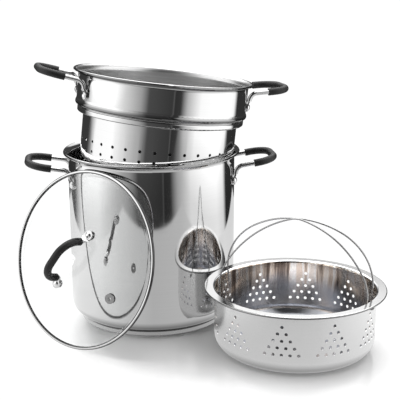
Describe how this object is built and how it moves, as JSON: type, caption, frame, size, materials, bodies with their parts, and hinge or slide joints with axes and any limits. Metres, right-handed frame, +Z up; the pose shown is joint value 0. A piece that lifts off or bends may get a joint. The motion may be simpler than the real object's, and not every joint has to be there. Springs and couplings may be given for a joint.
{
  "type": "pasta pot",
  "caption": "Tall steel pasta pot with a perforated straining insert, a perforated steaming basket with wire bails, and a domed glass lid with a steam vent.",
  "frame": {"origin": "centre of the pot's base disc underside, on the table", "axes": "+Z up along the pot, +X to the right past the pot handles, -Y to the front where the lid leans and the basket stands"},
  "size_m": [0.4651, 0.3728, 0.3432],
  "materials": {
    "pot_steel": "mirror polished outside, satin inside",
    "disc_steel": "fine turned satin",
    "rod_steel": "polished rod",
    "sleeve_black": "matte soft grip",
    "rivet_steel": "polished",
    "insert_steel": "mirror polished",
    "basket_steel": "satin outside, polished inside",
    "wire_steel": "polished wire",
    "lid_glass": "clear",
    "band_steel": "polished",
    "gasket_grey": "matte",
    "vent_steel": "polished"
  },
  "bodies": {
    "set": {"pot_body": "pot_steel", "pot_base_disc": "disc_steel", "pot_right_handle": "rod_steel", "pot_left_handle": "rod_steel", "pot_right_sleeve": "sleeve_black", "pot_left_sleeve": "sleeve_black", "pot_handle_rivets": "rivet_steel", "insert_body": "insert_steel", "insert_right_handle": "rod_steel", "insert_left_handle": "rod_steel", "insert_right_sleeve": "sleeve_black", "insert_left_sleeve": "sleeve_black", "insert_handle_rivets": "rivet_steel", "basket_body": "basket_steel", "lid_glass": "lid_glass", "lid_band": "band_steel", "lid_handle": "rod_steel", "lid_handle_sleeve": "sleeve_black", "lid_handle_screws": "rivet_steel", "lid_handle_washers": "gasket_grey", "lid_handle_nuts": "rivet_steel", "lid_steam_vent": "vent_steel"},
    "front_bail": {"basket_front_bail": "wire_steel"},
    "back_bail": {"basket_back_bail": "wire_steel"}
  },
  "joints": [
    {"name": "front_bail_hinge", "type": "hinge", "parent": "set", "child": "front_bail", "pos_m": [0.16747, -0.15744, 0.068], "axis": [0.9278, -0.373, 0], "range_deg": [0, 53]},
    {"name": "back_bail_hinge", "type": "hinge", "parent": "set", "child": "back_bail", "pos_m": [0.18373, -0.11698, 0.068], "axis": [-0.9278, 0.373, 0], "range_deg": [0, 53]}
  ]
}
